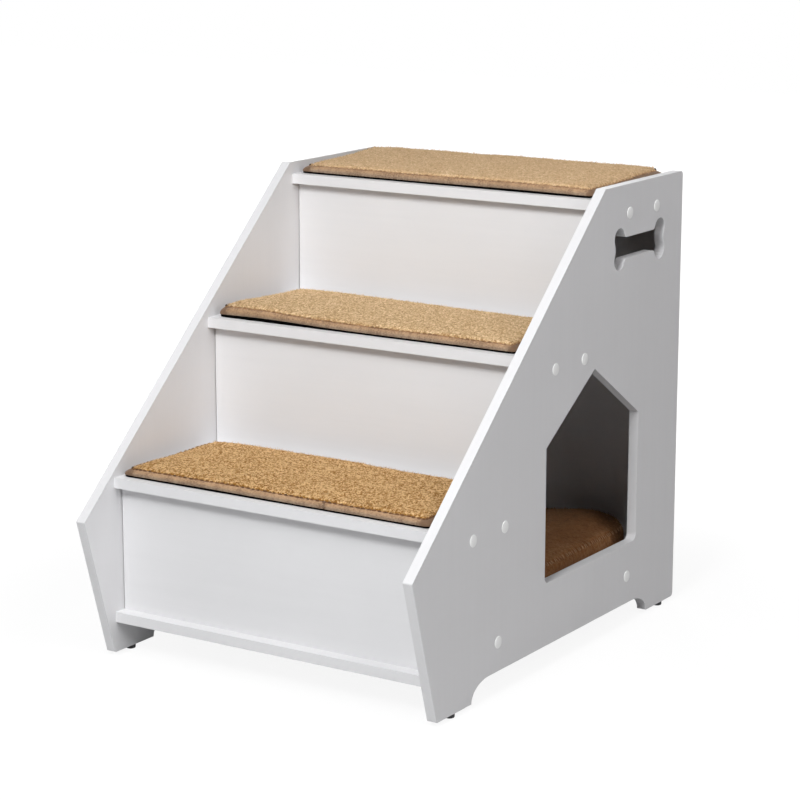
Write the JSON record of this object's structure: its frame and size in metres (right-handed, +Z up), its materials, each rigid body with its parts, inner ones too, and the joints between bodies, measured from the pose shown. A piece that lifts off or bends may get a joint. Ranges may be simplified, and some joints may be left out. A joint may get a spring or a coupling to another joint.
{
  "type": "pet stairs",
  "caption": "Wooden pet stairs with plush-covered steps between side panels, over a den with a gabled door and a cushion.",
  "frame": {"origin": "centre of the footprint, on the floor under the glides", "axes": "+X to the right side panel, which has the door; +Y from the low step to the back panel; +Z up"},
  "size_m": [0.452, 0.5998, 0.5383],
  "materials": {
    "painted_wood": "white satin paint over fine grain",
    "bare_wood": "planed, unpainted",
    "screw_steel": "zinc plated",
    "cap_plastic": "smooth",
    "glide_plastic": "matt",
    "mat_plush": "short curly plush",
    "mat_band": "fine velvet, stitched",
    "mat_foam": "foam",
    "mat_backing": "anti-slip, matt",
    "cushion_plush": "short plush, stitched border"
  },
  "bodies": {
    "carcass": {"side_panel_right": "painted_wood", "side_panel_left": "painted_wood", "base_board": "painted_wood", "back_panel": "painted_wood", "low_tread": "painted_wood", "mid_tread": "painted_wood", "top_tread": "painted_wood", "low_riser": "painted_wood", "mid_riser": "painted_wood", "top_riser": "painted_wood", "low_cleat_right": "bare_wood", "low_cleat_left": "bare_wood", "mid_cleat_right": "bare_wood", "mid_cleat_left": "bare_wood", "top_cleat_right": "bare_wood", "top_cleat_left": "bare_wood", "base_cleat_right": "bare_wood", "base_cleat_left": "bare_wood", "panel_screws_right": "screw_steel", "panel_screws_left": "screw_steel", "screw_caps_right": "cap_plastic", "screw_caps_left": "cap_plastic", "cleat_screws": "screw_steel", "riser_dowels": "bare_wood", "back_dowels": "bare_wood", "glides": "glide_plastic", "glide_nails": "screw_steel"},
    "low_mat": {"low_mat_backing": "mat_backing", "low_mat_core": "mat_foam", "low_mat_band": "mat_band", "low_mat_plush": "mat_plush"},
    "mid_mat": {"mid_mat_backing": "mat_backing", "mid_mat_core": "mat_foam", "mid_mat_band": "mat_band", "mid_mat_plush": "mat_plush"},
    "top_mat": {"top_mat_backing": "mat_backing", "top_mat_core": "mat_foam", "top_mat_band": "mat_band", "top_mat_plush": "mat_plush"},
    "cushion": {"den_cushion": "cushion_plush"}
  },
  "joints": [
    {"name": "low_mat_lift", "type": "slide", "parent": "carcass", "child": "low_mat", "axis": [0, 0, 1], "range_m": [0, 0.34]},
    {"name": "mid_mat_lift", "type": "slide", "parent": "carcass", "child": "mid_mat", "axis": [0, 0, 1], "range_m": [0, 0.18]},
    {"name": "top_mat_lift", "type": "slide", "parent": "carcass", "child": "top_mat", "axis": [0, 0, 1], "range_m": [0, 0.06]},
    {"name": "cushion_lift", "type": "slide", "parent": "carcass", "child": "cushion", "axis": [0, 0, 1], "range_m": [0, 0.08]}
  ]
}
